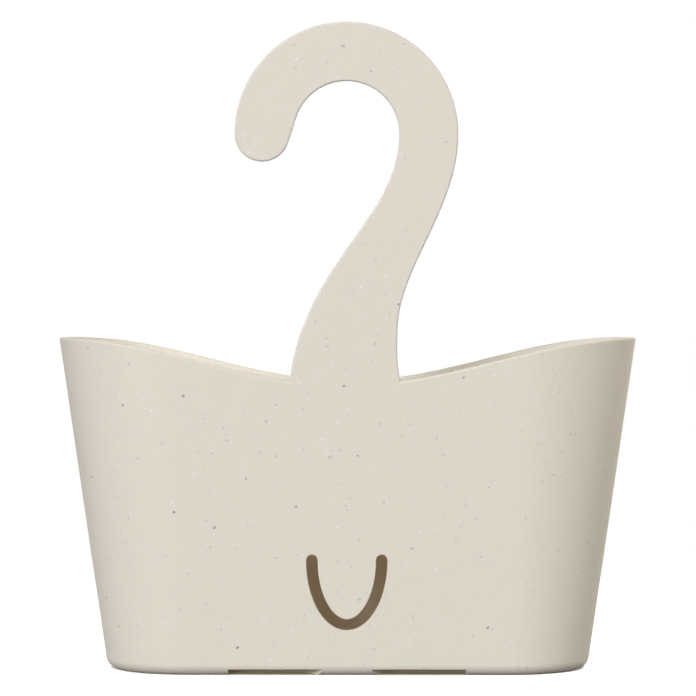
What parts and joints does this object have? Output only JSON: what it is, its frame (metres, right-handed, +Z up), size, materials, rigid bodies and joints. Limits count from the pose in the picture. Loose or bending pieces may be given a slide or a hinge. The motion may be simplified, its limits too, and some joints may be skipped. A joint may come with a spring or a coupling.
{
  "type": "shower basket",
  "caption": "Deep oval hanging basket with a wavy rim, a smile-shaped slot in its front wall and a flat question-mark hook standing up from that wall.",
  "frame": {"origin": "middle of the tub's flat underside, on the surface that it stands on", "axes": "+Z up, along the hook; +X to the right along the tub's length as seen from the front; -Y out of the front wall, which carries the hook"},
  "size_m": [0.2896, 0.1296, 0.318],
  "materials": {
    "tub_plastic": "matte cream plastic with sparse fine brown and grey specks",
    "hook_plastic": "matte cream plastic with sparse fine brown and grey specks"
  },
  "bodies": {
    "root": {"basket_tub": "tub_plastic", "hanging_hook": "hook_plastic"}
  },
  "joints": []
}
